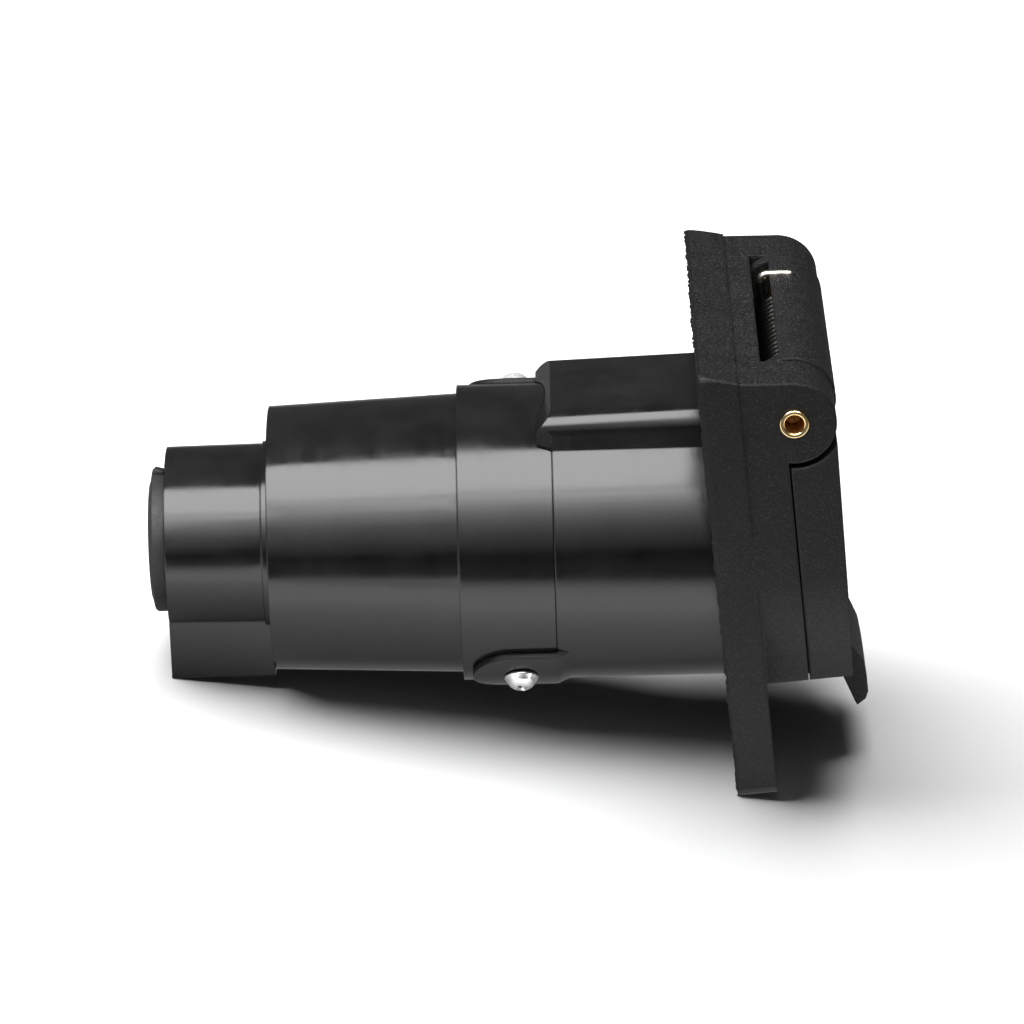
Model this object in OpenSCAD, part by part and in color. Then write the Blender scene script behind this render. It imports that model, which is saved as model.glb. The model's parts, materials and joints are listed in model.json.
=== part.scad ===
// Seven-way trailer wiring socket: flanged housing with a sprung hinged cover in front
// and a screwed-on wiring cover behind.
// +X points out of the mouth, +Z up to the hinge, Y along the hinge pin.
// The origin is the centre of the flange's bolt pattern, on its rear (mounting) face.

/* [Flange] */
// Width of the flange across Y
flange_w = 79; // [78:0.1:81]
// Height of the flange above the origin
flange_up = 44.2; // [43.9:0.1:45]
// Height of the flange below the origin
flange_down = 37.1; // [35:0.1:40]
// Thickness of the flange
flange_t = 6.8; // [5:0.1:7.5]
// Spacing of the mounting holes across Y
bolt_spacing_y = 66; // [65:0.5:67]
// Spacing of the mounting holes along Z
bolt_spacing_z = 44; // [43.5:0.5:44.5]
// Diameter of the mounting holes
bolt_hole_d = 4.8; // [4:0.1:5.5]

/* [Front body] */
// Depth of the raised body in front of the flange
body_depth = 7.6; // [7.4:0.1:8]
// Height of the body's bottom edge below the origin
body_down = 25.8; // [25.6:0.1:27]
// Radius of the body's lower corners
body_corner_r = 30; // [28:0.5:32]

/* [Barrel] */
// Tilt of the barrel, mouth down, so that water drains
barrel_tilt = 4.3; // [3.5:0.1:5]
// Radius of the housing barrel
barrel_r = 27.2; // [27:0.1:27.3]
// Length of the housing barrel behind the flange
barrel_len = 29.3; // [28:0.1:32]
// Radius of the socket that takes the plug
socket_r = 22; // [21.5:0.1:22.2]

/* [Rear cover] */
// Radius of the collar
collar_r = 27.05; // [26.9:0.05:27.1]
// Length of the collar
collar_len = 17.25; // [17:0.25:20]
// Radius of the shell at its front end
shell_front_r = 25.55; // [25.3:0.05:25.8]
// Radius of the shell at its rear end
shell_rear_r = 24.15; // [24:0.05:25]
// Length of the shell
shell_len = 34.5; // [32:0.5:36]
// Radius of the cable end
cap_r = 17.3; // [17:0.1:18]
// Length of the cable end
cap_len = 18.9; // [18.5:0.1:21]

/* [Hinge] */
// Distance of the hinge pin in front of the mounting face
pin_x = 16; // [15.9:0.1:16.1]
// Height of the hinge pin above the origin
pin_z = 33.7; // [33.6:0.1:33.8]
// Radius of the hinge pin
pin_r = 2.3; // [2.2:0.05:2.4]
// Radius of the ears that hold the pin
ear_r = 7.5; // [7.3:0.1:7.6]
// Radius of the cover's knuckle
knuckle_r = 7.9; // [7.8:0.1:8]
// Width of the knuckle between the ears
knuckle_w = 54.8; // [54:0.1:55]

/* [Cover] */
// Thickness of the cover at the height of the hinge pin
cover_t_top = 8.6; // [8.5:0.1:9]
// Thickness of the cover at its bottom
cover_t_bottom = 7.6; // [7.4:0.1:7.9]
// Gap between the body and the closed cover
cover_gap = 0.3; // [0.3:0.05:0.6]
// Width of the thumb tab where it leaves the cover
tab_w = 28; // [26:1:30]

/* [Contacts] */
// Radius of the circle of blade contacts
blade_circle_r = 15; // [14.8:0.1:15.2]
// Width of a blade contact
blade_w = 8; // [7:0.5:8.5]
// Thickness of a blade contact
blade_t = 1.6; // [1.4:0.1:1.8]
// Length of the contacts in front of their carrier
contact_len = 15; // [13:0.5:16]

/* [Hidden] */
$fn = 96;
eps = 0.05;                                  // small clearance between seated pieces
body_front = flange_t + body_depth;
body_w = flange_w - 0.7;
flange_corner_r = 1.5;
flange_step_z = 12;                          // below this the flange is a little narrower
flange_step = 0.35;
flange_step_run = 3;                         // height over which its sides slope in
top_draft = 16;                              // slope of the flange's top face
head_bore_r = 4.2;                           // room for the mounting screws' heads
relief_depth = 0.7;                          // keeps the tilted barrel's root off the panel
relief_margin = 1.5;
ear_out = body_w / 2;
bay_half = knuckle_w / 2 + 0.3;
bay_r = knuckle_r + 0.9;
cut_r = ear_r + 1;                           // the cover's clearance round the ears
// The body's top face falls away from the flange to meet the ears at a tangent
top_z = flange_up - flange_t * tan(top_draft) - 0.25;
top_reach = norm([pin_x - flange_t, top_z - pin_z]);
top_slope = acos(ear_r / top_reach) - atan2(pin_x - flange_t, top_z - pin_z);
tangent = [pin_x + ear_r * sin(top_slope), pin_z + ear_r * cos(top_slope)];
// Stations along the barrel's own axis, from the mounting face
carrier_front = -14;
joint_x = -barrel_len;
shell_x = joint_x - collar_len;
cap_x = shell_x - shell_len;
end_x = cap_x - cap_len;
seat_r = socket_r + 1.2;
// Lip along the cover's round bottom, which sits in a groove in the body
lip_inset = 1.2;
lip_t = 0.6;
lip_depth = 0.6;
lip_room = 0.3;
seal_r = 22.8;                               // outer radius of the cover's seal
seal_in_r = 20.6;
gasket_t = 1.2;
carrier_back = joint_x;
wall = 2.6;
// Keyway and the boss over it
key_half = 6;
key_top = 24.6;
boss_half = 16.2;
boss_top = 29.3;
boss_edge_r = 4.2;
boss_overlap = 2;                            // reach of the boss over the collar
boss_draft = 1.8;                            // fall of the boss towards the rear
boss_slant = [3, 0.9];                       // depth of the slant at its rear end: top, sides
boss_slant_run = 2.9;                        // length of that slant along the barrel
// Tongues and their screws
tongue_angles = [227, 48];
tongue_w = 13.6;
tongue_tip = joint_x - 15.5;
tongue_out_r = 28.3;
tongue_in_r = collar_r + 0.1;
tongue_root = 2.5;                            // the tongue fades into the barrel over this length
screw_x = joint_x - 6.7;
screw_r = 1.5;
screw_head_r = 3.15;
// Wire terminals behind the carrier
terminal_r = 3.75;
terminal_len = 11;
wire_hole_r = 2.1;
set_screw_r = 1.6;
set_screw_x = carrier_back - 6;
blade_angles = [30, 90, 150, 210, 270, 330]; // from the keyway, round the axis
// Cable end
block_half = 13.5;
block_down = 21.8;
grommet_r = 13;
grommet_t = 3.3;
cable_r = 6.5;
neck_r = 10;
neck_len = 6;
clamp_front = cap_x - 1.2;
clamp_len = 9;
clamp_half = 10;
clamp_screw_r = 1.75;
clamp_screw_y = 6.5;
// Spring
wire_r = 0.75;
coil_r = 4;
coil_y0 = -24;
coil_turns = 19;
coil_pitch = 2.1;
leg_y = coil_y0 + coil_turns * coil_pitch + 2 * wire_r + 0.35;
spring_leg = 7.2;

// Places children in the barrel's own frame, +X along its axis towards the mouth
module on_barrel() { rotate([0, barrel_tilt, 0]) children(); }

// Cylinder along X from x0 to x1, or a cone when r1 is given
module rod_x(x0, x1, r0, r1 = undef) {
    translate([x0, 0, 0]) rotate([0, 90, 0])
        cylinder(h = x1 - x0, r1 = r0, r2 = is_undef(r1) ? r0 : r1);
}

// Ring along X
module ring_x(x0, x1, r_out, r_in) {
    difference() {
        rod_x(x0, x1, r_out);
        rod_x(x0 - 1, x1 + 1, r_in);
    }
}

// Cylinder along Y about the hinge line
module hinge_rod(y0, y1, r) {
    translate([pin_x, y0, pin_z]) rotate([-90, 0, 0]) cylinder(h = y1 - y0, r = r);
}

// Extrudes an outline drawn in X and Z along Y
module along_y(y0, y1) { translate([0, y1, 0]) rotate([90, 0, 0]) linear_extrude(y1 - y0) children(); }

// Extrudes an outline drawn in Y and Z along X
module along_x(x0, x1) {
    translate([x0, 0, 0]) rotate([90, 0, 90]) linear_extrude(x1 - x0) children();
}

module rounded_rect(y0, z0, y1, z1, r) {
    translate([y0 + r, z0]) square([y1 - y0 - 2 * r, z1 - z0]);
    translate([y0, z0 + r]) square([y1 - y0, z1 - z0 - 2 * r]);
    for (y = [y0 + r, y1 - r], z = [z0 + r, z1 - r]) translate([y, z]) circle(r);
}

// Front outline shared by the body and the cover: straight sides over a broad round bottom
module front_outline(half, down, r, top) {
    centre_y = half - r;
    centre_z = r - down;
    translate([-half, centre_z]) square([2 * half, top - centre_z]);
    translate([-centre_y, -down]) square([2 * centre_y, r]);
    for (side = [-1, 1]) translate([side * centre_y, centre_z]) circle(r);
}

// Narrow band along the outline's round bottom, between two distances in from its edge
module bottom_band(from, to) {
    intersection() {
        difference() {
            front_outline(body_w / 2 - from, body_down - from, body_corner_r - from, 0);
            front_outline(body_w / 2 - to, body_down - to, body_corner_r - to, 1);
        }
        translate([-50, -50]) square([100, 52]);
    }
}

// Side profile of the hinge ears, tangent to the body's sloping top
module ear_profile() {
    translate([pin_x, pin_z]) circle(ear_r);
    polygon([[flange_t, pin_z - ear_r], [flange_t, top_z], tangent, [pin_x, pin_z],
        [body_front, pin_z - ear_r]]);
}

// Flange with a sloping top and a shallow relief behind, round the tilted barrel and its boss
module flange_plate() {
    half = flange_w / 2;
    low_half = half - flange_step;
    difference() {
        along_x(0, flange_t) {
            rounded_rect(-low_half, -flange_down, low_half, flange_up - 2, flange_corner_r);
            rounded_rect(-half, flange_step_z + flange_step_run, half, flange_up, flange_corner_r);
            polygon([[-low_half, flange_step_z], [low_half, flange_step_z],
                [half, flange_step_z + flange_step_run], [half, flange_up - 5],
                [-half, flange_up - 5], [-half, flange_step_z + flange_step_run]]);
        }
        along_y(-50, 50) polygon([[0, flange_up], [20, flange_up - 20 * tan(top_draft)],
            [20, flange_up + 10], [0, flange_up + 10]]);
        rod_x(-1, relief_depth, barrel_r + relief_margin);
        along_x(-1, relief_depth) rounded_rect(-boss_half - relief_margin, 10,
            boss_half + relief_margin, boss_top + relief_margin, boss_edge_r);
    }
}

module front_body() {
    difference() {
        along_x(flange_t - 1, body_front) front_outline(body_w / 2, body_down, body_corner_r, top_z);
        along_y(-50, 50) polygon([[flange_t, top_z], [flange_t, top_z + 20], [40, top_z + 20],
            [40, top_z - (40 - flange_t) * tan(top_slope)]]);
    }
    for (side = [-1, 1]) mirror([0, side < 0 ? 1 : 0, 0])
        along_y(bay_half, ear_out) ear_profile();
}

// Keyway hump along the top of the barrel; its rear end slants over the collar on all sides
module key_boss() {
    boss_rear = joint_x - boss_overlap;
    top_angle = atan2(boss_slant_run, boss_slant[0]);
    side_angle = atan2(boss_slant_run, boss_slant[1]);
    difference() {
        rotate([0, -boss_draft, 0]) difference() {
            along_x(boss_rear, 2) rounded_rect(-boss_half, 10, boss_half, boss_top, boss_edge_r);
            translate([boss_rear, 0, boss_top - boss_slant[0]]) rotate([0, top_angle, 0])
                translate([-10, -20, -2]) cube([10, 40, 20]);
            for (side = [-1, 1]) mirror([0, side < 0 ? 1 : 0, 0])
                translate([boss_rear, boss_half - boss_slant[1], 0]) rotate([0, 0, -side_angle])
                    translate([-10, -3, 8]) cube([10, 20, 30]);
        }
        rod_x(boss_rear - 3, joint_x, collar_r + 0.1);
    }
}

// Tongue that reaches back over the collar and takes a retaining screw
module tongue(angle) {
    intersection() {
        difference() {
            union() {
                rod_x(tongue_tip - 1, joint_x, tongue_out_r);
                rod_x(joint_x, joint_x + tongue_root, tongue_out_r, barrel_r - 0.1);
            }
            rod_x(tongue_tip - 2, joint_x, tongue_in_r);
            rod_x(joint_x - 1, joint_x + tongue_root + 1, barrel_r - 1);
        }
        rotate([angle - 90, 0, 0]) linear_extrude(40) {
            translate([tongue_tip + tongue_w / 2, 0]) circle(tongue_w / 2);
            translate([tongue_tip + tongue_w / 2, -tongue_w / 2])
                square([joint_x + tongue_root - tongue_tip - tongue_w / 2, tongue_w]);
        }
    }
}

module housing() {
    color([0.07, 0.07, 0.07])
    difference() {
        union() {
            flange_plate();
            front_body();
            on_barrel() {
                rod_x(joint_x, 2, barrel_r);
                key_boss();
                for (angle = tongue_angles) tongue(angle);
            }
        }
        on_barrel() {
            rod_x(carrier_front, 30, socket_r);
            rod_x(joint_x - 1, carrier_front, seat_r);
            translate([carrier_front, -key_half, 0]) cube([50, 2 * key_half, key_top]);
            for (angle = tongue_angles) rotate([angle - 90, 0, 0])
                translate([screw_x, 0, 20]) cylinder(h = 12, r = screw_r + 0.1);
        }
        // Groove that takes the cover's lip
        along_x(body_front - lip_depth - lip_room, body_front + 1)
            bottom_band(lip_inset - lip_room, lip_inset + lip_t + lip_room);
        // Hinge bay, open to the front and top
        hinge_rod(-bay_half, bay_half, bay_r);
        translate([pin_x - 4.9, -bay_half, pin_z]) cube([20, 2 * bay_half, 20]);
        hinge_rod(-50, 50, pin_r + 0.02);
        for (y = [-1, 1] * bolt_spacing_y / 2, z = [-1, 1] * bolt_spacing_z / 2)
            translate([-1, y, z]) rotate([0, 90, 0]) {
                cylinder(h = 60, d = bolt_hole_d);
                translate([0, 0, flange_t + 1]) cylinder(h = 60, r = head_bore_r);
            }
    }
}

// Insulating insert that holds the seven contacts
module contact_carrier() {
    color([0.09, 0.09, 0.1])
    on_barrel() difference() {
        union() {
            rod_x(carrier_back, carrier_front - eps, seat_r - eps);
            ring_x(carrier_front - 1, carrier_front + 2.5, 9, 5);
        }
        for (angle = blade_angles) rotate([angle, 0, 0])
            translate([carrier_back - 1, -blade_w / 2 - eps, blade_circle_r - blade_t / 2 - eps])
                cube([20, blade_w + 2 * eps, blade_t + 2 * eps]);
        rod_x(carrier_back - 1, carrier_front + 3, 2.5 + eps);
    }
}

// Wire terminal on the back of a contact, with its set screw hole to the outside
module terminal() {
    difference() {
        rod_x(carrier_back - eps - terminal_len, carrier_back - eps, terminal_r);
        rod_x(carrier_back - terminal_len - 1, carrier_back - 2, wire_hole_r);
        translate([set_screw_x, 0, 0]) cylinder(h = 8, r = set_screw_r + 0.05);
    }
}

module blade_contact(k) {
    color([0.78, 0.62, 0.32])
    on_barrel() rotate([blade_angles[k], 0, 0]) translate([0, 0, blade_circle_r]) {
        terminal();
        translate([carrier_back - 1, 0, 0]) flat_blade();
    }
}

// Flat blade along X with a rounded tip
module flat_blade() {
    reach = carrier_front + contact_len - carrier_back + 1;
    tip_r = 2;
    translate([0, 0, -blade_t / 2]) linear_extrude(blade_t) {
        translate([0, -blade_w / 2]) square([reach - tip_r, blade_w]);
        translate([0, -blade_w / 2 + tip_r]) square([reach, blade_w - 2 * tip_r]);
        for (side = [-1, 1]) translate([reach - tip_r, side * (blade_w / 2 - tip_r)]) circle(tip_r);
    }
}

module centre_pin_contact() {
    color([0.78, 0.62, 0.32])
    on_barrel() {
        terminal();
        rod_x(carrier_back - 1, carrier_front + contact_len - 1.2, 2.5);
        rod_x(carrier_front + contact_len - 1.2, carrier_front + contact_len, 2.5, 1.4);
    }
}

module set_screw() {
    translate([set_screw_x, 0, wire_hole_r - 0.8])
        cylinder(h = terminal_r - wire_hole_r + 1, r = set_screw_r);
    difference() {
        translate([set_screw_x, 0, terminal_r + 0.1]) cylinder(h = 1.8, r = 2.6);
        translate([set_screw_x - 4, -0.4, terminal_r + 1.1]) cube([8, 0.8, 2]);
    }
}

module terminal_screws() {
    color([0.75, 0.76, 0.78])
    on_barrel() {
        set_screw();
        for (angle = blade_angles) rotate([angle, 0, 0]) translate([0, 0, blade_circle_r]) set_screw();
    }
}

module rear_gasket() {
    color([0.12, 0.12, 0.12])
    on_barrel() ring_x(joint_x - gasket_t, joint_x - eps, 25, 21.2);
}

// Saddle space and screw holes in the cable end's block
module clamp_space() {
    translate([clamp_front - clamp_len - 0.3, -clamp_half - 0.3, 2 - block_down + 1.5])
        cube([clamp_len + 0.6, 2 * clamp_half + 0.6, block_down - 3.5]);
    for (side = [-1, 1]) translate([clamp_front - clamp_len / 2, side * clamp_screw_y, -block_down - 1]) {
        cylinder(h = 8, r = clamp_screw_r + 0.05);
        cylinder(h = 3, r = 3.2);
    }
}

module rear_cover() {
    color([0.06, 0.06, 0.06])
    on_barrel() difference() {
        union() {
            rod_x(shell_x, joint_x - eps, collar_r);
            rod_x(cap_x, shell_x, shell_rear_r, shell_front_r);
            rod_x(end_x, cap_x, cap_r - 0.1, cap_r + 0.1);
            rod_x(cap_x - 1.3, cap_x, cap_r + 0.5);
            translate([end_x, -block_half, -block_down]) cube([cap_len + 0.1, 2 * block_half, block_down]);
        }
        rod_x(cap_x + wall, joint_x + 1, shell_rear_r - wall, shell_front_r - wall);
        rod_x(joint_x - gasket_t - eps, joint_x + 1, 25.1);
        rod_x(end_x - 1, cap_x + wall + 1, cable_r + 1);
        rod_x(end_x - 1, end_x + neck_len, neck_r + eps);
        clamp_space();
        for (angle = tongue_angles) rotate([angle - 90, 0, 0])
            translate([screw_x, 0, 20]) cylinder(h = 12, r = screw_r + eps);
    }
}

// Pan head with a cross recess, on a plain shank; the head's seat is at z = 0
module pan_screw(shank, head_r, head_h, shank_r) {
    dome_r = (head_r * head_r + head_h * head_h) / (2 * head_h);
    translate([0, 0, -shank]) cylinder(h = shank + eps, r = shank_r);
    difference() {
        intersection() {
            translate([0, 0, head_h - dome_r]) sphere(dome_r);
            cylinder(h = head_h, r = head_r - 0.05);
        }
        for (turn = [0, 90]) rotate([0, 0, turn])
            translate([-head_r * 0.5, -0.35, head_h - 1]) cube([head_r, 0.7, 2]);
    }
}

module rear_cover_screws() {
    color([0.8, 0.81, 0.82])
    on_barrel() for (angle = tongue_angles) rotate([angle - 90, 0, 0])
        translate([screw_x, 0, tongue_out_r + eps]) pan_screw(6, screw_head_r, 2.4, screw_r);
}

module cable_grommet() {
    color([0.08, 0.08, 0.08])
    on_barrel() difference() {
        union() {
            rod_x(end_x - grommet_t, end_x - eps, grommet_r);
            rod_x(end_x - 1, end_x + neck_len - eps, neck_r);
        }
        rod_x(end_x - 5, end_x + neck_len + 1, cable_r);
    }
}

module cable_clamp() {
    color([0.1, 0.1, 0.1])
    on_barrel() difference() {
        translate([clamp_front - clamp_len, -clamp_half, -15]) cube([clamp_len, 2 * clamp_half, 10]);
        rod_x(clamp_front - clamp_len - 1, clamp_front + 1, cable_r + 1);
    }
}

module clamp_screws() {
    color([0.75, 0.76, 0.78])
    on_barrel() for (side = [-1, 1])
        translate([clamp_front - clamp_len / 2, side * clamp_screw_y, -block_down + 2 - eps])
            mirror([0, 0, 1]) pan_screw(block_down - 17 - 0.1, 2.9, 1.5, clamp_screw_r);
}

// Cover's side profile: a plate that thins downwards, under the round knuckle
module cover_profile() {
    rear = body_front + cover_gap;
    polygon([[rear, -body_down], [rear + cover_t_bottom, -body_down], [rear + cover_t_top, pin_z],
        [rear, pin_z]]);
}

// Thumb tab under the cover: a flared lip whose sides slope in towards its front
module thumb_tab() {
    root = body_front + cover_gap + cover_t_bottom;
    tab_front = root + 2.9;
    tab_t = 2.3;
    tab_top = -20;
    tip = -body_down - 6.8;
    slope_in = 4;
    intersection() {
        along_y(-tab_w / 2, tab_w / 2) polygon([[root - 3, tab_top], [root + 0.3, tab_top],
            [tab_front - 0.4, tab_top - 5], [tab_front, tab_top - 9], [tab_front, tip + 1],
            [tab_front - 0.6, tip], [tab_front - tab_t, tip], [root - 2, -body_down + 1],
            [root - 3, -body_down + 1]]);
        translate([0, 0, tip - 1]) linear_extrude(40) polygon([[root - 4, -tab_w / 2],
            [root + 0.2, -tab_w / 2], [tab_front, slope_in - tab_w / 2], [tab_front, tab_w / 2 - slope_in],
            [root + 0.2, tab_w / 2], [root - 4, tab_w / 2]]);
    }
}

module cover() {
    seal_z = -body_front * tan(barrel_tilt);
    web = 2.5;
    hollow = body_front + 5;
    lug_x = body_front - 2.4;
    color([0.07, 0.07, 0.07])
    union() {
        difference() {
            union() {
                intersection() {
                    along_y(-body_w / 2, body_w / 2) cover_profile();
                    along_x(10, 40) front_outline(body_w / 2, body_down, body_corner_r, pin_z);
                }
                hinge_rod(-knuckle_w / 2, knuckle_w / 2, knuckle_r);
                thumb_tab();
                along_x(body_front - lip_depth, body_front + 1) bottom_band(lip_inset, lip_inset + lip_t);
            }
            // Room round the ears
            for (side = [-1, 1]) mirror([0, side < 0 ? 1 : 0, 0]) {
                hinge_rod(knuckle_w / 2, 40, cut_r);
                translate([10, knuckle_w / 2, pin_z]) cube([30, 20, 20]);
            }
            // Spring space, open to the rear
            hinge_rod(web - knuckle_w / 2, knuckle_w / 2 - web, knuckle_r - 2.3);
            translate([0, web - knuckle_w / 2, pin_z - 9]) cube([pin_x - 1.5, knuckle_w - 2 * web, 30]);
            hinge_rod(-50, 50, pin_r + 0.07);
            // Hollow behind the front wall
            along_x(10, hollow) translate([0, seal_z]) circle(seal_r + 0.1);
            // Notch for the spring's leg
            translate([pin_x - 3, leg_y - wire_r - 0.1, pin_z + knuckle_r - 2 * wire_r - 0.1])
                cube([6.3, 2 * wire_r + 0.2, 5]);
        }
        // Lug that catches a plug and keeps it in
        difference() {
            translate([lug_x, -5, 11.5]) cube([9, 10, 4]);
            along_y(-6, 6) polygon([[lug_x - 1, 10], [lug_x + 3, 11.5], [lug_x - 1, 14]]);
        }
    }
}

module cover_seal() {
    seal_z = -body_front * tan(barrel_tilt);
    color([0.05, 0.05, 0.05])
    translate([0, 0, seal_z]) ring_x(body_front + cover_gap, body_front + 5 - eps, seal_r, seal_in_r);
}

// Hollow brass rivet with flared ends
module hinge_pin() {
    color([0.8, 0.62, 0.28])
    difference() {
        union() {
            hinge_rod(-ear_out - 0.6, ear_out + 0.6, pin_r);
            for (side = [-1, 1]) mirror([0, side < 0 ? 1 : 0, 0])
                hinge_rod(ear_out + 0.02, ear_out + 0.6, pin_r + 0.4);
        }
        hinge_rod(-50, 50, pin_r - 0.5);
    }
}

// Six points round the wire's section, on the radius at angle a and shifted by [dx, dy, dz]
function wire_ring(a, shift) = [for (s = [0:5]) let (r = coil_r + wire_r * cos(s * 60)) [
    pin_x + r * cos(a) + shift[0], wire_r * sin(s * 60) + shift[1], pin_z + r * sin(a) + shift[2]]];

// Helix of wire round the pin; its straight leg leaves at a tangent and rests in the bay
module torsion_spring() {
    per_turn = 16;
    steps = coil_turns * per_turn;
    start = -70;
    leg_shift = [spring_leg * sin(start), coil_y0, -spring_leg * cos(start)];
    helix = [for (i = [0:steps])
        each wire_ring(start + i * 360 / per_turn, [0, coil_y0 + i * coil_pitch / per_turn, 0])];
    points = concat(wire_ring(start, leg_shift), helix);
    sides = [for (i = [0:steps], s = [0:5])
        let (low = i * 6 + s, next = i * 6 + (s + 1) % 6)
        each [[low, next, next + 6], [low, next + 6, low + 6]]];
    last = (steps + 1) * 6;
    ends = [[5, 4, 3, 2, 1, 0], [for (s = [0:5]) last + s]];
    color([0.7, 0.71, 0.73]) polyhedron(points, concat(sides, ends));
}

// The spring's other leg, which lies in the notch on top of the knuckle
module spring_cover_leg() {
    top = pin_z + knuckle_r - wire_r - 0.05;
    back = pin_x - 3.4;
    color([0.8, 0.81, 0.83])
    translate([0, leg_y, 0]) {
        translate([back, 0, top]) rotate([0, 90, 0]) cylinder(h = 6.6, r = wire_r);
        translate([back, 0, top]) sphere(wire_r);
        translate([back, 0, pin_z]) cylinder(h = top - pin_z, r = wire_r);
    }
}

housing();
contact_carrier();
blade_contact(0);  // blade_contact_1
blade_contact(1);  // blade_contact_2
blade_contact(2);  // blade_contact_3
blade_contact(3);  // blade_contact_4
blade_contact(4);  // blade_contact_5
blade_contact(5);  // blade_contact_6
centre_pin_contact();
terminal_screws();
rear_gasket();
rear_cover();
rear_cover_screws();
cable_grommet();
cable_clamp();
clamp_screws();
cover();
cover_seal();
hinge_pin();
torsion_spring();
spring_cover_leg();
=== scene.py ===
"""Looks for the seven-way trailer wiring socket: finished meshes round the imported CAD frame,
procedural plastics and metals, a pale floor, soft light and a camera. Lengths in the code are
in millimetres unless a name says otherwise; MM turns them into metres."""

import json
import math

import bmesh
import bpy
from mathutils import Matrix, Vector, noise


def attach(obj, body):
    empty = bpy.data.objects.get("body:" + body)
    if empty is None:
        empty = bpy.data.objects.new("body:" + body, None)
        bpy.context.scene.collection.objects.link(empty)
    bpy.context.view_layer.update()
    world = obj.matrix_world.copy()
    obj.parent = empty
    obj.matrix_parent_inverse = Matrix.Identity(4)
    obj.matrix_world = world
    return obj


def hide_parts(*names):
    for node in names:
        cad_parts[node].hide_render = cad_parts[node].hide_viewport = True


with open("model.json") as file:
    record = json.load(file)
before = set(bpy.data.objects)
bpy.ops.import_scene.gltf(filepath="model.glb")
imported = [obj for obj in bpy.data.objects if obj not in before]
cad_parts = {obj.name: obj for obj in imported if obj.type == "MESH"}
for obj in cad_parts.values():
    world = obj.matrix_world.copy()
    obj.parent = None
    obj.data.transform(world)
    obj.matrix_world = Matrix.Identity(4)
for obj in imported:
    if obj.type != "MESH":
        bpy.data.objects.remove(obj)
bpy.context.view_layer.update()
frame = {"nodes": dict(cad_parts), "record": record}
MM = 0.001
FLOOR_GLOW = 0.5                        # keeps the sweep white out to the edges of the picture
FLOOR_GLOW_FROM, FLOOR_GLOW_TO = 0.12, 0.35  # metres from the object over which it comes in
# glow that only mirror-like rays see: a painted reflection of the floor on the object's gloss
FLOOR_BAND = 2.5                        # brightness of the floor as the object's gloss finds it

# ---------------------------------------------------------------- sizes, as in the CAD model
TILT = 4.3                              # barrel axis against the flange, mouth down
FLANGE_HALF, FLANGE_DOWN, FLANGE_UP = 39.5, 37.1, 44.2
FLANGE_T = 6.8
FLANGE_STEP_Z, FLANGE_STEP = 12.0, 0.35  # below this height the flange is a little narrower
FLANGE_STEP_RUN = 3.0                   # height over which its sides slope in
FLASH_REACH, FLASH_STEP = 1.15, 0.45    # height of the torn mould flash, and its sampling
SCREW_HEAD_H = 2.4
PIN_X, PIN_Z, PIN_R, EAR_OUT, KNUCKLE_R = 16.0, 33.7, 2.3, 39.15, 7.9
JOINT_X, END_X, BLOCK_DOWN = -29.3, -99.95, 21.8
GROMMET_R, GROMMET_BACK, NECK_R, NECK_FRONT, CABLE_R = 13.0, -103.25, 10.0, -94.0, 6.5
TONGUE_ANGLES, TONGUE_R, SCREW_X, SCREW_HEAD_R, SCREW_SHANK = (227, 48), 28.35, -36.0, 3.1, 6.0
WIRE_R, COIL_R, COIL_Y, COIL_PITCH, COIL_TURNS = 0.75, 4.0, -24.0, 2.1, 19
COIL_START, SPRING_LEG, LEG_Y = -70.0, 7.2, 17.75
BARREL = Matrix.Rotation(math.radians(TILT), 4, "Y")


# ---------------------------------------------------------------- mesh helpers
def arc(cx, cy, r, start, end, steps):
    """Points on an arc, both ends included; angles in degrees."""
    turn = [math.radians(start + (end - start) * i / steps) for i in range(steps + 1)]
    return [(cx + r * math.cos(a), cy + r * math.sin(a)) for a in turn]


def rounded(points, radii, steps=4):
    """A closed outline with each corner rounded to its radius."""
    out = []
    count = len(points)
    for i, (x, y) in enumerate(points):
        r = radii[i] if hasattr(radii, "__len__") else radii
        p, a, b = Vector((x, y)), Vector(points[i - 1]), Vector(points[(i + 1) % count])
        u, v = (a - p).normalized(), (b - p).normalized()
        angle = u.angle(v)
        if r <= 0 or angle > math.pi - 0.02:
            out.append((x, y))
            continue
        reach = r / math.tan(angle / 2)
        centre = p + (u + v).normalized() * r / math.sin(angle / 2)
        first, last = p + u * reach - centre, p + v * reach - centre
        sweep = first.angle_signed(last)
        for k in range(steps + 1):
            spin = Matrix.Rotation(-sweep * k / steps, 2)
            out.append(tuple(centre + spin @ first))
    return out


def mesh_object(name, bm, place=Matrix.Identity(4)):
    """Turns a bmesh drawn in millimetres into an object in metres, in the frame."""
    bmesh.ops.remove_doubles(bm, verts=bm.verts, dist=1e-4)
    bmesh.ops.recalc_face_normals(bm, faces=bm.faces)
    bm.transform(Matrix.Scale(MM, 4) @ place)
    mesh = bpy.data.meshes.new(name)
    bm.to_mesh(mesh)
    bm.free()
    piece = bpy.data.objects.new(name, mesh)
    bpy.context.scene.collection.objects.link(piece)
    return piece


def lathe(name, profile, place=BARREL, segments=192):
    """Revolves a closed outline of (x, radius) points about the X axis."""
    bm = bmesh.new()
    rings = []
    for k in range(segments):
        a = 2 * math.pi * k / segments
        rings.append([bm.verts.new((x, -r * math.sin(a), r * math.cos(a))) for x, r in profile])
    for k in range(segments):
        here, there = rings[k], rings[(k + 1) % segments]
        for i in range(len(profile)):
            j = (i + 1) % len(profile)
            if profile[i][1] > 1e-6 or profile[j][1] > 1e-6:
                bm.faces.new([here[i], here[j], there[j], there[i]])
    return mesh_object(name, bm, place)


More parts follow.
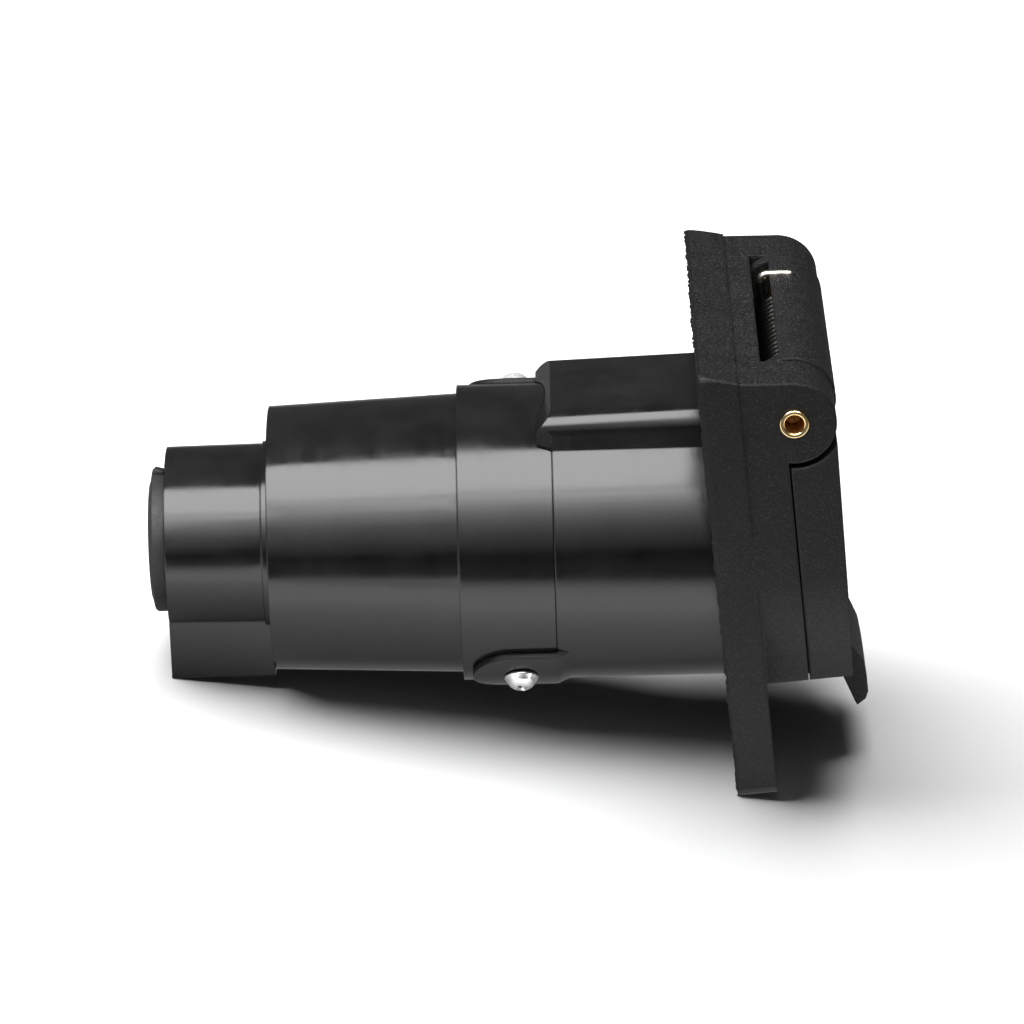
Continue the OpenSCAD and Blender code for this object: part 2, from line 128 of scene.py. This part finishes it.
def tube(name, route, r, sides=14):
    """Sweeps a round wire of radius r along a route of points, with closed, domed ends."""
    bm = bmesh.new()
    rings = []
    side = None
    for i, point in enumerate(route):
        ahead = (route[min(i + 1, len(route) - 1)] - route[max(i - 1, 0)]).normalized()
        side = ahead.orthogonal() if side is None else side - ahead * side.dot(ahead)
        side.normalize()
        other = ahead.cross(side)
        spokes = [side * math.cos(a) + other * math.sin(a)
                  for a in (2 * math.pi * k / sides for k in range(sides))]
        if i == 0:
            rings.append([bm.verts.new(point - ahead * 0.35 * r + s * r * 0.7) for s in spokes])
        rings.append([bm.verts.new(point + s * r) for s in spokes])
    rings.append([bm.verts.new(route[-1] + ahead * 0.35 * r + s * r * 0.7) for s in spokes])
    for low, high in zip(rings, rings[1:]):
        for k in range(sides):
            n = (k + 1) % sides
            bm.faces.new([low[k], low[n], high[n], high[k]])
    bm.faces.new(rings[0])
    bm.faces.new(rings[-1])
    return mesh_object(name, bm)


def prism(name, outline, low, high, place):
    """Extrudes a closed outline, drawn in (x, z), along Y from low to high."""
    bm = bmesh.new()
    layers = [[bm.verts.new((x, y, z)) for x, z in outline] for y in (low, high)]
    count = len(outline)
    for i in range(count):
        j = (i + 1) % count
        bm.faces.new([layers[0][i], layers[0][j], layers[1][j], layers[1][i]])
    bm.faces.new(layers[0])
    bm.faces.new(layers[1])
    return mesh_object(name, bm, place)


def apply_modifiers(piece):
    """Bakes the modifiers into the mesh and clears them."""
    graph = bpy.context.evaluated_depsgraph_get()
    mesh = bpy.data.meshes.new_from_object(piece.evaluated_get(graph))
    old = piece.data
    piece.modifiers.clear()
    piece.data = mesh
    bpy.data.meshes.remove(old)
    return piece


def boolean(piece, other, how="DIFFERENCE"):
    """Cuts or joins another object into piece and removes the other."""
    step = piece.modifiers.new("cut", "BOOLEAN")
    step.operation = how
    step.solver = "EXACT"
    step.object = other
    apply_modifiers(piece)
    bpy.data.objects.remove(other)
    return piece


def bevel(piece, width, segments=3, angle=32):
    """Rounds the edges sharper than angle, as a moulding's edges are."""
    step = piece.modifiers.new("edge", "BEVEL")
    step.width = width * MM
    step.segments = segments
    step.limit_method = "ANGLE"
    step.angle_limit = math.radians(angle)
    step.use_clamp_overlap = True
    return apply_modifiers(piece)


def smooth(piece, angle=30):
    """Smooth shading, with edges sharper than angle kept crisp."""
    for face in piece.data.polygons:
        face.use_smooth = True
    piece.data.set_sharp_from_angle(angle=math.radians(angle))
    return piece


def finish_piece(piece, material, body, replaced=()):
    """Material and body for one finished piece; the CAD parts it replaces are hidden."""
    piece.data.materials.clear()
    piece.data.materials.append(material)
    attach(piece, body)
    if replaced:
        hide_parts(*replaced)
    return piece


def soften(node, width, segments=2, angle=35):
    """A finished copy of a CAD node: flat faces merged, moulded edges rounded."""
    bm = bmesh.new()
    bm.from_mesh(frame["nodes"][node].data)
    bmesh.ops.remove_doubles(bm, verts=bm.verts, dist=2e-6)
    bmesh.ops.dissolve_limit(bm, angle_limit=math.radians(0.4), verts=bm.verts, edges=bm.edges)
    mesh = bpy.data.meshes.new(node + "_finished")
    bm.to_mesh(mesh)
    bm.free()
    piece = bpy.data.objects.new(node + "_finished", mesh)
    bpy.context.scene.collection.objects.link(piece)
    smooth(bevel(piece, width, segments, angle))
    weigh = piece.modifiers.new("normals", "WEIGHTED_NORMAL")
    weigh.keep_sharp = True
    return apply_modifiers(piece)


# ---------------------------------------------------------------- materials
class Paint:
    """A small builder for node materials on one Principled shader."""

    def __init__(self, name):
        self.material = bpy.data.materials.new(name)
        self.material.use_nodes = True
        self.tree = self.material.node_tree
        self.shader = self.tree.nodes["Principled BSDF"]
        self.coords = self.add("ShaderNodeTexCoord").outputs["Object"]

    def add(self, kind, **settings):
        node = self.tree.nodes.new(kind)
        for key, value in settings.items():
            if hasattr(node, key):
                setattr(node, key, value)
            else:
                node.inputs[key.replace("_", " ").title()].default_value = value
        return node

    def link(self, a, b):
        self.tree.links.new(a, b)

    def mapping(self, scale, turn=(0, 0, 0)):
        node = self.add("ShaderNodeMapping")
        node.inputs["Scale"].default_value = scale
        node.inputs["Rotation"].default_value = [math.radians(a) for a in turn]
        self.link(self.coords, node.inputs["Vector"])
        return node.outputs["Vector"]

    def noise(self, size_mm, detail=2.0, rough=0.5, vector=None):
        node = self.add("ShaderNodeTexNoise", scale=1 / (size_mm * MM), detail=detail)
        node.inputs["Roughness"].default_value = rough
        self.link(vector or self.mapping((1, 1, 1)), node.inputs["Vector"])
        return node.outputs["Fac"]

    def ramp(self, value, low, high, out_low, out_high):
        node = self.add("ShaderNodeMapRange")
        names = ("From Min", "From Max", "To Min", "To Max")
        for key, v in zip(names, (low, high, out_low, out_high)):
            node.inputs[key].default_value = v
        self.link(value, node.inputs["Value"])
        return node.outputs["Result"]

    def blend(self, factor, a, b):
        node = self.add("ShaderNodeMix", data_type="RGBA")
        self.link(factor, node.inputs["Factor"])
        node.inputs["A"].default_value = (*a, 1)
        node.inputs["B"].default_value = (*b, 1)
        return node.outputs["Result"]

    def bump(self, layers, edge_mm=0.0):
        """Stacks bumps given as (height socket, strength, depth in mm), over edges rounded by
        a radius of edge_mm."""
        last = None
        if edge_mm:
            last = self.add("ShaderNodeBevel", samples=6, radius=edge_mm * MM).outputs["Normal"]
        for height, strength, depth in layers:
            node = self.add("ShaderNodeBump")
            node.inputs["Strength"].default_value = strength
            node.inputs["Distance"].default_value = depth * MM
            self.link(height, node.inputs["Height"])
            if last:
                self.link(last, node.inputs["Normal"])
            last = node.outputs["Normal"]
        self.link(last, self.shader.inputs["Normal"])


def textured_plastic(name="textured_plastic", grain_mm=0.42, strength=0.8, rough=(0.46, 0.6),
                     light=1.0):
    """Black moulding with a spark-eroded grain and faint scuffs where it has been handled. The
    grain's tops are painted lighter, a painted glint on the grain, and light scales the whole
    colour, which paints light on where it is above 1.
    """
    p = Paint(name)
    shine = light ** 0.5
    grain = p.noise(grain_mm, 3, 0.6)
    blotch = p.noise(6, 3, 0.55)
    speck = p.noise(0.5, 1, 0.5)
    scuff = p.noise(1.6, 6, 0.72, p.mapping((1, 0.5, 1)))
    # light scales the colour: above 1 it is painted light
    base = p.blend(p.ramp(blotch, 0.35, 0.65, 0, 1), (0.0035 * light,) * 3, (0.0055 * light,) * 3)
    # grain tops painted lighter: painted glints on the grain
    painted_glints = p.add("ShaderNodeMix", data_type="RGBA")
    p.link(p.ramp(grain, 0.52, 0.72, 0, strength), painted_glints.inputs["Factor"])
    p.link(base, painted_glints.inputs["A"])
    painted_glints.inputs["B"].default_value = (0.03 * shine, 0.03 * shine, 0.031 * shine, 1)
    worn = p.add("ShaderNodeMix", data_type="RGBA")
    p.link(p.ramp(scuff, 0.66, 0.8, 0, 0.5), worn.inputs["Factor"])
    p.link(painted_glints.outputs["Result"], worn.inputs["A"])
    worn.inputs["B"].default_value = (0.05, 0.05, 0.052, 1)
    p.link(worn.outputs["Result"], p.shader.inputs["Base Color"])
    p.link(p.ramp(speck, 0.3, 0.7, *rough), p.shader.inputs["Roughness"])
    p.bump([(grain, strength, 0.16), (blotch, 0.15, 0.15)], 0.8)
    p.shader.inputs["Specular IOR Level"].default_value = 0.24
    return p.material


def gloss_plastic():
    """Black moulding polished in a lathe-turned mould: fine rings round the barrel axis."""
    p = Paint("gloss_plastic")
    rings = p.mapping((1, 0.012, 0.012), (0, -TILT, 0))
    fine = p.noise(0.12, 3, 0.6, rings)
    wide = p.noise(1.6, 3, 0.6, rings)
    haze = p.noise(9, 4, 0.6)
    dust = p.noise(0.35, 2, 0.5)
    wave = p.noise(14, 1, 0.4)
    p.link(p.blend(p.ramp(haze, 0.35, 0.65, 0, 1), (0.0045,) * 3, (0.0075,) * 3),
           p.shader.inputs["Base Color"])
    patch = p.add("ShaderNodeMath", operation="ADD")
    p.link(p.ramp(wide, 0.3, 0.7, 0.08, 0.13), patch.inputs[0])
    p.link(p.ramp(haze, 0.35, 0.65, 0.03, 0.1), patch.inputs[1])
    p.link(patch.outputs["Value"], p.shader.inputs["Roughness"])
    p.bump([(fine, 0.25, 0.02), (wide, 0.1, 0.05), (dust, 0.08, 0.02), (wave, 0.12, 0.25)], 0.5)
    return p.material


def insert_plastic():
    """Dark, slightly mottled moulding of the contact carrier."""
    p = Paint("insert_plastic")
    p.link(p.blend(p.noise(3), (0.014, 0.014, 0.015), (0.022, 0.022, 0.023)),
           p.shader.inputs["Base Color"])
    p.link(p.ramp(p.noise(0.6), 0.3, 0.7, 0.38, 0.5), p.shader.inputs["Roughness"])
    p.bump([(p.noise(0.3, 2), 0.25, 0.04)])
    return p.material


def rubber(name, dark, light):
    """Matt rubber, mottled between two greys."""
    p = Paint(name)
    p.link(p.blend(p.noise(4, 3), (dark,) * 3, (light,) * 3), p.shader.inputs["Base Color"])
    p.link(p.ramp(p.noise(0.8), 0.3, 0.7, 0.5, 0.66), p.shader.inputs["Roughness"])
    p.bump([(p.noise(0.35, 3), 0.3, 0.05)])
    return p.material


def metal(name, dark, light, rough_low, rough_high, scratch=0.1, metallic=1.0):
    """Metal with brushed grain, tarnish in patches and fine scratches."""
    p = Paint(name)
    grain = p.noise(0.12, 2, 0.5, p.mapping((1, 1, 0.15)))
    patch = p.noise(1.2, 3, 0.6)
    p.link(p.blend(p.ramp(patch, 0.35, 0.7, 0, 1), light, dark), p.shader.inputs["Base Color"])
    p.link(p.ramp(patch, 0.3, 0.7, rough_low, rough_high), p.shader.inputs["Roughness"])
    p.bump([(grain, scratch, 0.02)])
    p.shader.inputs["Metallic"].default_value = metallic
    return p.material


PAINTS = {
    "textured_plastic": textured_plastic(),
    "gloss_plastic": gloss_plastic(),
    "insert_plastic": insert_plastic(),
    # Smoother moulding for the flange's lower sides, its colour nine times lighter: painted light
    # from the table below
    "smooth_plastic_painted_light": textured_plastic("smooth_plastic_painted_light", 0.5, 0.25, (0.36, 0.46), 9.0),
    "seal_rubber": rubber("seal_rubber", 0.012, 0.02),
    "grommet_rubber": rubber("grommet_rubber", 0.008, 0.014),
    "contact_brass": metal("contact_brass", (0.55, 0.36, 0.13), (0.8, 0.57, 0.24), 0.22, 0.38),
    "rivet_brass": metal("rivet_brass", (0.7, 0.5, 0.22), (0.92, 0.72, 0.4), 0.12, 0.26, 0.06),
    # Darker brass for inside the rivet's hole: painted shade
    "rivet_bore_shade": metal("rivet_bore_shade", (0.3, 0.12, 0.02), (0.5, 0.24, 0.05), 0.4, 0.55, 0.1, 0.5),
    "plated_steel": metal("plated_steel", (0.45, 0.44, 0.42), (0.68, 0.68, 0.68), 0.25, 0.42),
    "bright_chrome": metal("bright_chrome", (0.8, 0.81, 0.83), (0.98, 0.98, 0.98), 0.12, 0.28,
                           0.05, 0.75),
    "spring_steel": metal("spring_steel", (0.42, 0.37, 0.31), (0.76, 0.71, 0.64), 0.18, 0.34),
    # Steel painted almost black: painted shade for the coil in its slot and the leg's part inside
    # the knuckle
    "shade_painted_steel": metal("shade_painted_steel", (0.015, 0.0145, 0.014), (0.045, 0.044, 0.042), 0.35, 0.5),
}
SLOTS = {row["node"]: row["material_slot"] for row in frame["record"]["subparts"]}
BODIES = frame["record"]["behaviour"]["bodies"]
BODY_OF = {node: body for body, nodes in BODIES.items() for node in nodes}


# ---------------------------------------------------------------- pieces
EDGES = {"housing": 0.8, "rear_cover": 0.3, "cover": 0.7, "contact_carrier": 0.2,
         "cable_clamp": 0.3, "cover_seal": 0.4, "rear_gasket": 0.2}
HERO = ("cable_grommet", "hinge_pin", "torsion_spring", "spring_cover_leg", "rear_cover_screws")


def finish_plain_nodes():
    """Every node without a piece of its own: rounded edges and its material."""
    for node, cad in frame["nodes"].items():
        if node in HERO:
            continue
        if node in EDGES:
            finish_piece(soften(node, EDGES[node]), PAINTS[SLOTS[node]], BODY_OF[node],
                         [node])
        else:
            cad.data.materials.clear()
            cad.data.materials.append(PAINTS[SLOTS[node]])


def paint_housing():
    """The barrel behind the flange is polished, apart from the side faces of its tongues. The
    narrow lower part of the flange's sides is smoother than the textured rest, and painted much
    lighter: painted light standing in for the light it catches from the table below."""
    housing = bpy.data.objects["housing_finished"]
    housing.data.materials.append(PAINTS["gloss_plastic"])
    housing.data.materials.append(PAINTS["smooth_plastic_painted_light"])
    for face in housing.data.polygons:
        c = face.center / MM
        along = BARREL.inverted() @ c
        outward = Vector((0, along.y, along.z)).normalized().dot(BARREL.inverted() @ face.normal)
        tongue_side = along.x < JOINT_X + 3 and along.z < 25 and outward < 0.8
        low_side = abs(c.y) > FLANGE_HALF - FLANGE_STEP - 0.1 and c.z < FLANGE_STEP_Z
        if tongue_side:
            face.material_index = 0
        elif c.x < -0.2:
            face.material_index = 1
        # lower flange sides: smoother, and painted lighter as painted light from the table below
        elif low_side and c.x < 0.75 * FLANGE_T:
            face.material_index = 2


def ragged(along, reach):
    """Height of the torn mould flash at a distance along the edge, up to about reach."""
    value = 0.5 + 0.5 * noise.noise(Vector((along * 0.9, 3.7, reach)))
    chip = 0.5 + 0.5 * noise.noise(Vector((along * 0.23, 9.1, 2.0)))
    return reach * (0.15 + 0.85 * value) * (0.35 + 0.65 * chip)


def mould_flash():
    """Thin torn fin left along the flange's rear edge where the mould parted."""
    low_half = FLANGE_HALF - FLANGE_STEP
    high_z = FLANGE_STEP_Z + FLANGE_STEP_RUN
    loop = rounded([(-low_half, -FLANGE_DOWN), (low_half, -FLANGE_DOWN), (low_half, FLANGE_STEP_Z),
                    (FLANGE_HALF, high_z), (FLANGE_HALF, FLANGE_UP), (-FLANGE_HALF, FLANGE_UP),
                    (-FLANGE_HALF, high_z), (-low_half, FLANGE_STEP_Z)],
                   [1.5, 1.5, 0, 0, 1.5, 1.5, 0, 0], 5)
    points = [Vector(q) for q in loop]
    route = []
    for here, there in zip(points, points[1:] + points[:1]):
        parts = max(1, round((there - here).length / FLASH_STEP))
        route += [here.lerp(there, i / parts) for i in range(parts)]
    bm = bmesh.new()
    rows = []
    length = 0.0
    for i, here in enumerate(route):
        length += (here - route[i - 1]).length if i else 0.0
        inward = -here.normalized()
        tip = here + inward * (0.1 + 0.08 * noise.noise(Vector((length, 0, 0))))
        height = ragged(length, FLASH_REACH)
        rows.append([bm.verts.new((0.3, here.x + inward.x * 0.03, here.y + inward.y * 0.03)),
                     bm.verts.new((-height, tip.x, tip.y)),
                     bm.verts.new((0.3, here.x + inward.x * 0.4, here.y + inward.y * 0.4))])
    for here, there in zip(rows, rows[1:] + rows[:1]):
        for k in range(3):
            n = (k + 1) % 3
            bm.faces.new([here[k], here[n], there[n], there[k]])
    fin = smooth(mesh_object("mould_flash", bm), 25)
    finish_piece(fin, PAINTS["textured_plastic"], "socket")


def grommet():
    """Rubber grommet with soft lips, a groove behind the rim and the nib of its moulding gate."""
    back, front, lip = GROMMET_BACK, NECK_FRONT, 0.7
    rim = END_X - 0.05
    profile = rounded([(back, CABLE_R), (back, GROMMET_R - 2.2), (back + 0.5, GROMMET_R - 1.6),
                       (back + 0.35, GROMMET_R), (rim, GROMMET_R), (rim, NECK_R), (front, NECK_R),
                       (front, CABLE_R)], [0.8, 0.5, 0.3, lip, 0.4, 0.2, 0.5, 0.5], 5)
    piece = lathe("cable_grommet_finished", profile)
    nib = rounded([(back + 0.5, GROMMET_R - 1.5), (rim - 0.3, GROMMET_R - 1.5),
                   (rim - 0.5, GROMMET_R + 0.5), (back + 1.3, GROMMET_R + 0.9),
                   (back + 0.6, GROMMET_R + 0.3)], 0.3, 3)
    lump = prism("nib", nib, -1.4, 1.2, BARREL @ Matrix.Rotation(math.radians(-6), 4, "X"))
    boolean(piece, bevel(lump, 0.25), "UNION")
    finish_piece(smooth(piece), PAINTS["grommet_rubber"], "socket", ["cable_grommet"])


def rivet():
    """Brass rivet with a rolled head on each end and a blind hole, countersunk at its mouth; the
    inside of the hole is painted dark brown, painted shade in the recess.
    """
    end, head_r, hole_r, depth = EAR_OUT + 0.6, PIN_R + 0.3, PIN_R - 0.58, 5.5
    under = EAR_OUT + 0.03
    half = [(0, PIN_R), (under, PIN_R), (under, head_r - 0.05)]
    half += arc(end - 0.28, head_r - 0.28, 0.28, 90, 0, 6)
    half += arc(end - 0.34, hole_r + 0.34, 0.34, 0, -90, 6)
    half += [(end - depth, hole_r - 0.06), (end - depth - 0.9, 0.0)]
    profile = [(-x, r) for x, r in reversed(half[1:])] + half
    piece = lathe("hinge_pin_finished", profile, Matrix.Translation((PIN_X, 0, PIN_Z))
                  @ Matrix.Rotation(math.radians(90), 4, "Z"), 96)
    finish_piece(smooth(piece, 40), PAINTS["rivet_brass"], "socket", ["hinge_pin"])
    # faces inside the hole get the darker brass: painted shade
    piece.data.materials.append(PAINTS["rivet_bore_shade"])
    for face in piece.data.polygons:
        c = face.center / MM
        if math.hypot(c.x - PIN_X, c.z - PIN_Z) < hole_r:
            face.material_index = 1


def spring():
    """Wound wire spring with a straight leg that rests in the bay, its steel painted almost black:
    painted shade in its slot.
    """
    start = math.radians(COIL_START)
    centre = Vector((PIN_X, 0, PIN_Z))

    def on_coil(a, y):
        return centre + Vector((COIL_R * math.cos(a), y, COIL_R * math.sin(a)))
    tangent = Vector((math.sin(start), 0, -math.cos(start)))
    route = [on_coil(start, COIL_Y) + tangent * SPRING_LEG * (1 - i / 6) for i in range(6)]
    steps = 28
    route += [on_coil(start + 2 * math.pi * i / steps, COIL_Y + COIL_PITCH * i / steps)
              for i in range(COIL_TURNS * steps + 1)]
    piece = smooth(tube("torsion_spring_finished", route, WIRE_R), 50)
    finish_piece(piece, PAINTS["shade_painted_steel"], "socket", ["torsion_spring"])


def spring_leg():
    """The spring's other end: up through the knuckle's slot, round a bend and along its top. Below
    the bend it is painted almost black, painted shade inside the slot.
    """
    bend, top, back = 1.3, PIN_Z + KNUCKLE_R - 0.2, PIN_X - 3.3
    route = [Vector((back, LEG_Y, PIN_Z + 1 + i)) for i in range(6)]
    route += [Vector((x, LEG_Y, z)) for x, z in arc(back + bend, top - bend, bend, 180, 90, 8)]
    route += [Vector((back + bend + 0.9 * i, LEG_Y - 0.05 * i, top - 0.012 * i * i))
              for i in range(1, 6)]
    piece = smooth(tube("spring_cover_leg_finished", route, WIRE_R, 20), 50)
    finish_piece(piece, PAINTS["spring_steel"], "lid", ["spring_cover_leg"])
    # below the bend: painted shade inside the slot
    piece.data.materials.append(PAINTS["shade_painted_steel"])
    for face in piece.data.polygons:
        if face.center.z / MM < top - bend:
            face.material_index = 1


def cross_cutter(place, top):
    """One wing of a cross recess: a blade that narrows towards the bottom."""
    wide, narrow, half, deep = 1.75, 0.85, 0.36, 1.35
    bm = bmesh.new()
    corners = [[bm.verts.new((x * c, y * h, z)) for x, y in ((1, 1), (-1, 1), (-1, -1), (1, -1))]
               for c, h, z in ((narrow, half * 0.7, top - deep), (wide, half, top + 0.6))]
    for k in range(4):
        n = (k + 1) % 4
        bm.faces.new([corners[0][k], corners[0][n], corners[1][n], corners[1][k]])
    bm.faces.new(corners[0])
    bm.faces.new(corners[1])
    return mesh_object("wing", bm, place)


def cover_screws():
    """Chromed pan heads with a cross recess, one through each tongue."""
    pieces = []
    for k, angle in enumerate(TONGUE_ANGLES):
        place = (BARREL @ Matrix.Rotation(math.radians(angle - 90), 4, "X")
                 @ Matrix.Translation((SCREW_X, 0, TONGUE_R)))
        upright = place @ Matrix.Rotation(math.radians(-90), 4, "Y")
        crown = [(SCREW_HEAD_H * (1 - (i / 12) ** 3.6), SCREW_HEAD_R * i / 12) for i in range(11)]
        crown += [(0.62, SCREW_HEAD_R * 0.93), (0.34, SCREW_HEAD_R), (0.1, SCREW_HEAD_R - 0.02),
                  (0.0, SCREW_HEAD_R - 0.15)]
        profile = [(-SCREW_SHANK, 0), *crown,
                   (0.0, 1.5), (-SCREW_SHANK + 0.4, 1.5), (-SCREW_SHANK, 1.1)]
        screw = lathe(f"rear_cover_screw_{k + 1}", profile, upright, 64)
        for turn in (20, 110):
            wing = place @ Matrix.Rotation(math.radians(turn), 4, "Z")
            boolean(screw, cross_cutter(wing, SCREW_HEAD_H))
        pieces.append(smooth(bevel(screw, 0.06, 2, 40), 40))
    for piece in pieces:
        finish_piece(piece, PAINTS["bright_chrome"], "socket", ["rear_cover_screws"])


finish_plain_nodes()
paint_housing()
mould_flash()
grommet()
rivet()
spring()
spring_leg()
cover_screws()


# ---------------------------------------------------------------- floor, light, camera
def floor_paint():
    """White sweep that stays white far from the object. Mirror-like rays instead find a glow from
    no lamp: a pale band in front of the object, a painted reflection of a small table, dimmed
    beneath the object and behind it as a painted shadow, and dark beyond."""
    p = Paint("floor_white")
    p.shader.inputs["Base Color"].default_value = (0.45, 0.45, 0.455, 1)
    p.link(p.ramp(p.noise(40), 0.3, 0.7, 0.85, 0.95), p.shader.inputs["Roughness"])
    p.shader.inputs["Specular IOR Level"].default_value = 0.1
    p.shader.inputs["Emission Color"].default_value = (1, 1, 1, 1)
    reach = p.add("ShaderNodeVectorMath", operation="LENGTH")
    p.link(p.coords, reach.inputs[0])
    glow = p.ramp(reach.outputs["Value"], FLOOR_GLOW_FROM, FLOOR_GLOW_TO, 0.0, FLOOR_GLOW)
    p.link(glow, p.shader.inputs["Emission Strength"])
    where = p.add("ShaderNodeSeparateXYZ")
    p.link(p.coords, where.inputs["Vector"])
    across = p.add("ShaderNodeMath", operation="ABSOLUTE")
    p.link(where.outputs["Y"], across.inputs[0])
    # glow band for mirror-like rays: painted reflection, dimmed under and behind the object as
    # painted shadow
    band = p.add("ShaderNodeMath", operation="MULTIPLY")
    p.link(p.ramp(where.outputs["Y"], -0.06, -0.015, 1.0, 0.12), band.inputs[0])
    p.link(p.ramp(across.outputs["Value"], 0.09, 0.15, FLOOR_BAND, 0.0), band.inputs[1])
    seen = p.add("ShaderNodeEmission")
    p.link(band.outputs["Value"], seen.inputs["Strength"])
    rays = p.add("ShaderNodeLightPath")
    mix = p.add("ShaderNodeMixShader")
    p.link(p.ramp(rays.outputs["Is Glossy Ray"], 0, 1, 0, 0.85), mix.inputs["Fac"])
    p.link(p.shader.outputs["BSDF"], mix.inputs[1])
    p.link(seen.outputs["Emission"], mix.inputs[2])
    p.link(mix.outputs["Shader"], p.tree.nodes["Material Output"].inputs["Surface"])
    return p.material


def support_plane():
    """Height of the table at x = 0 and its slope: it touches the flange and the block."""
    block = BARREL @ Vector((END_X, 0, -BLOCK_DOWN))
    return -FLANGE_DOWN, (block.z + FLANGE_DOWN) / block.x


def add_floor():
    """A large flat table, level with the support plane."""
    level, slope = support_plane()
    size = 6.0
    mesh = bpy.data.meshes.new("floor")
    mesh.from_pydata([(-size, -size, 0), (size, -size, 0), (size, size, 0), (-size, size, 0)], [],
                     [(0, 1, 2, 3)])
    floor = bpy.data.objects.new("floor", mesh)
    bpy.context.scene.collection.objects.link(floor)
    floor.data.materials.append(floor_paint())
    floor.matrix_world = (Matrix.Translation((0, 0, (level - 0.05) * MM))
                          @ Matrix.Rotation(-math.atan(slope), 4, "Y"))


def area_light(name, where, size, target, power):
    """A rectangular softbox at where, size (x, y) in metres, facing target."""
    data = bpy.data.lights.new(name, "AREA")
    data.shape = "RECTANGLE"
    data.size, data.size_y = size
    data.energy = power
    lamp = bpy.data.objects.new(name, data)
    bpy.context.scene.collection.objects.link(lamp)
    lamp.location = where
    aim = Vector(target) - Vector(where)
    lamp.rotation_euler = aim.to_track_quat("-Z", "Y").to_euler()
    return lamp


def add_world():
    """White behind the object for the camera, dim for everything else."""
    world = bpy.data.worlds.new("studio")
    bpy.context.scene.world = world
    world.use_nodes = True
    tree = world.node_tree
    dim = tree.nodes["Background"]
    dim.inputs["Color"].default_value = (1, 1, 1, 1)
    dim.inputs["Strength"].default_value = 0.06
    white = tree.nodes.new("ShaderNodeBackground")
    white.inputs["Color"].default_value = (1, 1, 1, 1)
    white.inputs["Strength"].default_value = 1.1
    rays = tree.nodes.new("ShaderNodeLightPath")
    mix = tree.nodes.new("ShaderNodeMixShader")
    tree.links.new(rays.outputs["Is Camera Ray"], mix.inputs["Fac"])
    tree.links.new(dim.outputs["Background"], mix.inputs[1])
    tree.links.new(white.outputs["Background"], mix.inputs[2])
    tree.links.new(mix.outputs["Shader"], tree.nodes["World Output"].inputs["Surface"])


def add_lights():
    """An overhead softbox with a row of weaker strips that lets its front edge fade, both for
    reflections only, and a broad light from a little behind that casts the soft shadow."""
    centre = (-0.02, 0, 0)
    softbox = area_light("softbox", (-0.02, -0.2, 0.52), (0.75, 0.34), (-0.02, -0.1, 0), 7.4)
    softbox.visible_diffuse = False
    for i in range(10):
        turn = math.radians(50 - 4.5 * i)
        place = (-0.02, -0.65 * math.cos(turn), 0.65 * math.sin(turn))
        strip = area_light(f"softbox_fade_{i}", place, (0.75, 0.06), centre, 0.95 * 0.7 ** i)
        strip.visible_diffuse = False
    key = area_light("key_light", (-0.13, 0.16, 0.6), (1.05, 0.54), centre, 22)
    key.visible_glossy = False


def add_camera():
    """Side view, a little above, through a long lens; the object leans slightly in the frame."""
    azimuth, elevation, roll = 2.45, 21.9, 6.46
    distance, centre_x, centre_y = 1.1009, -0.03711, 0.00247
    a, e, r = (math.radians(v) for v in (azimuth, elevation, roll))
    forward = Vector((-math.sin(a) * math.cos(e), math.cos(a) * math.cos(e), -math.sin(e)))
    right = Vector((math.cos(a), math.sin(a), 0))
    up = right.cross(forward)
    turned_right = right * math.cos(r) - up * math.sin(r)
    turned_up = up * math.cos(r) + right * math.sin(r)
    place = turned_right * centre_x + turned_up * centre_y - forward * distance
    data = bpy.data.cameras.new("camera")
    data.sensor_width = 36
    data.lens = 210.9375
    data.clip_start, data.clip_end = 0.05, 20
    camera = bpy.data.objects.new("camera", data)
    bpy.context.scene.collection.objects.link(camera)
    camera.matrix_world = Matrix((
        (turned_right.x, turned_up.x, -forward.x, place.x),
        (turned_right.y, turned_up.y, -forward.y, place.y),
        (turned_right.z, turned_up.z, -forward.z, place.z),
        (0, 0, 0, 1)))
    bpy.context.scene.camera = camera


add_floor()
add_world()
add_lights()
add_camera()
bpy.context.scene.view_settings.view_transform = "Standard"
bpy.context.scene.view_settings.look = "None"
